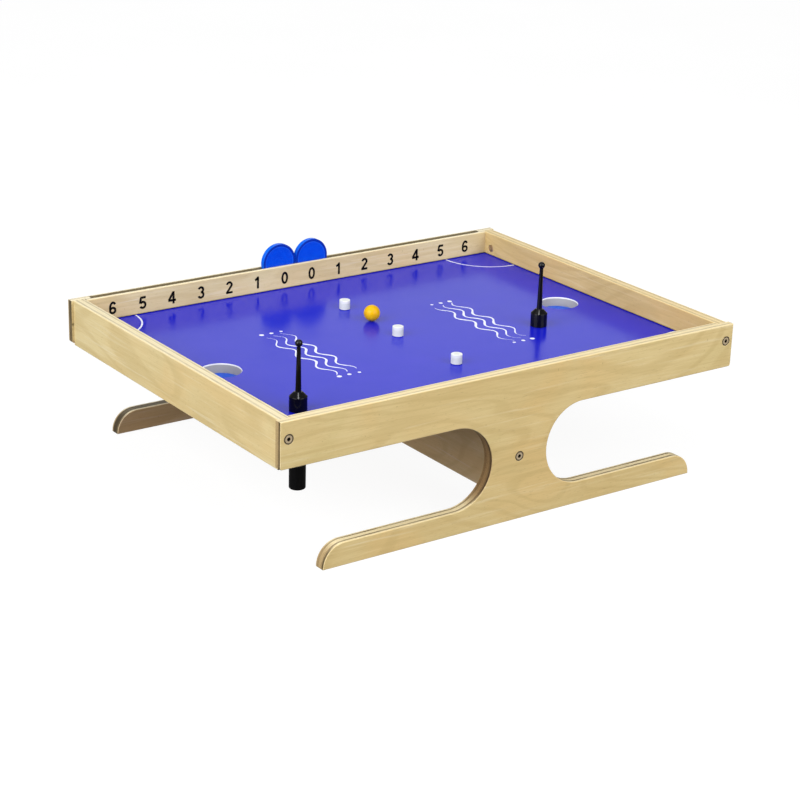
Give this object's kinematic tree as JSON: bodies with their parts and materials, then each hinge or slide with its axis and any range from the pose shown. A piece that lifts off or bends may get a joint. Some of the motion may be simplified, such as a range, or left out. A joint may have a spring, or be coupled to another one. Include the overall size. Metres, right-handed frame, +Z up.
{
  "type": "tabletop striker game",
  "caption": "Tabletop game with a blue board walled by plywood rails on cut-out legs, magnetic strikers, goal holes, small obstacles, a ball and sliding score markers.",
  "frame": {"origin": "on the table, under the middle of the game", "axes": "+X along the long side, +Y towards the long side that carries the score markers, +Z up"},
  "size_m": [0.44, 0.332, 0.1606],
  "materials": {
    "birch_plywood": "satin",
    "blue_board": "gloss",
    "zinc_steel": "satin",
    "blue_plastic": "gloss",
    "black_plastic": "gloss",
    "white_plastic": "gloss",
    "yellow_plastic": "gloss",
    "nickel_magnet": "polished"
  },
  "bodies": {
    "frame": {"long_panel_front": "birch_plywood", "long_panel_back": "birch_plywood", "end_panel_left": "birch_plywood", "end_panel_right": "birch_plywood", "board_top_sheet": "blue_board", "board_base_sheet": "blue_board", "divider_board": "birch_plywood", "screw_left_front": "zinc_steel", "screw_left_back": "zinc_steel", "screw_right_front": "zinc_steel", "screw_right_back": "zinc_steel", "screw_divider_front": "zinc_steel", "screw_divider_back": "zinc_steel", "barrel_nut_left_front": "zinc_steel", "barrel_nut_left_back": "zinc_steel", "barrel_nut_right_front": "zinc_steel", "barrel_nut_right_back": "zinc_steel", "barrel_nut_divider_front": "zinc_steel", "barrel_nut_divider_back": "zinc_steel"},
    "marker_left": {"score_marker_left": "blue_plastic"},
    "marker_right": {"score_marker_right": "blue_plastic"},
    "handle_left": {"handle_left": "black_plastic", "handle_magnet_left": "nickel_magnet"},
    "handle_right": {"handle_right": "black_plastic", "handle_magnet_right": "nickel_magnet"},
    "striker_left": {"striker_left": "black_plastic", "striker_magnet_left": "nickel_magnet"},
    "striker_right": {"striker_right": "black_plastic", "striker_magnet_right": "nickel_magnet"},
    "obstacle_front": {"obstacle_front": "white_plastic", "obstacle_magnet_front": "nickel_magnet"},
    "obstacle_middle": {"obstacle_middle": "white_plastic", "obstacle_magnet_middle": "nickel_magnet"},
    "obstacle_back": {"obstacle_back": "white_plastic", "obstacle_magnet_back": "nickel_magnet"},
    "ball": {"ball": "yellow_plastic"}
  },
  "joints": [
    {"name": "handle_left_slide", "type": "slide", "parent": "frame", "child": "handle_left", "axis": [1, 0, 0], "range_m": [-0.0315, 0.1545]},
    {"name": "handle_right_slide", "type": "slide", "parent": "frame", "child": "handle_right", "axis": [1, 0, 0], "range_m": [-0.1035, 0.082]},
    {"name": "striker_left_lift", "type": "slide", "parent": "handle_left", "child": "striker_left", "axis": [0, 0, 1], "range_m": [0, 0.04]},
    {"name": "striker_right_lift", "type": "slide", "parent": "handle_right", "child": "striker_right", "axis": [0, 0, 1], "range_m": [0, 0.04]},
    {"name": "marker_left_slide", "type": "slide", "parent": "frame", "child": "marker_left", "axis": [1, 0, 0], "range_m": [-0.166, 0]},
    {"name": "marker_right_slide", "type": "slide", "parent": "frame", "child": "marker_right", "axis": [1, 0, 0], "range_m": [0, 0.168]},
    {"name": "ball_roll", "type": "slide", "parent": "frame", "child": "ball", "axis": [1, 0, 0], "range_m": [-0.199, 0.197]},
    {"name": "obstacle_front_slide", "type": "slide", "parent": "frame", "child": "obstacle_front", "axis": [1, 0, 0], "range_m": [-0.199, 0.201]},
    {"name": "obstacle_middle_slide", "type": "slide", "parent": "frame", "child": "obstacle_middle", "axis": [1, 0, 0], "range_m": [-0.1475, 0.15]},
    {"name": "obstacle_back_slide", "type": "slide", "parent": "frame", "child": "obstacle_back", "axis": [1, 0, 0], "range_m": [-0.1995, 0.2005]}
  ]
}
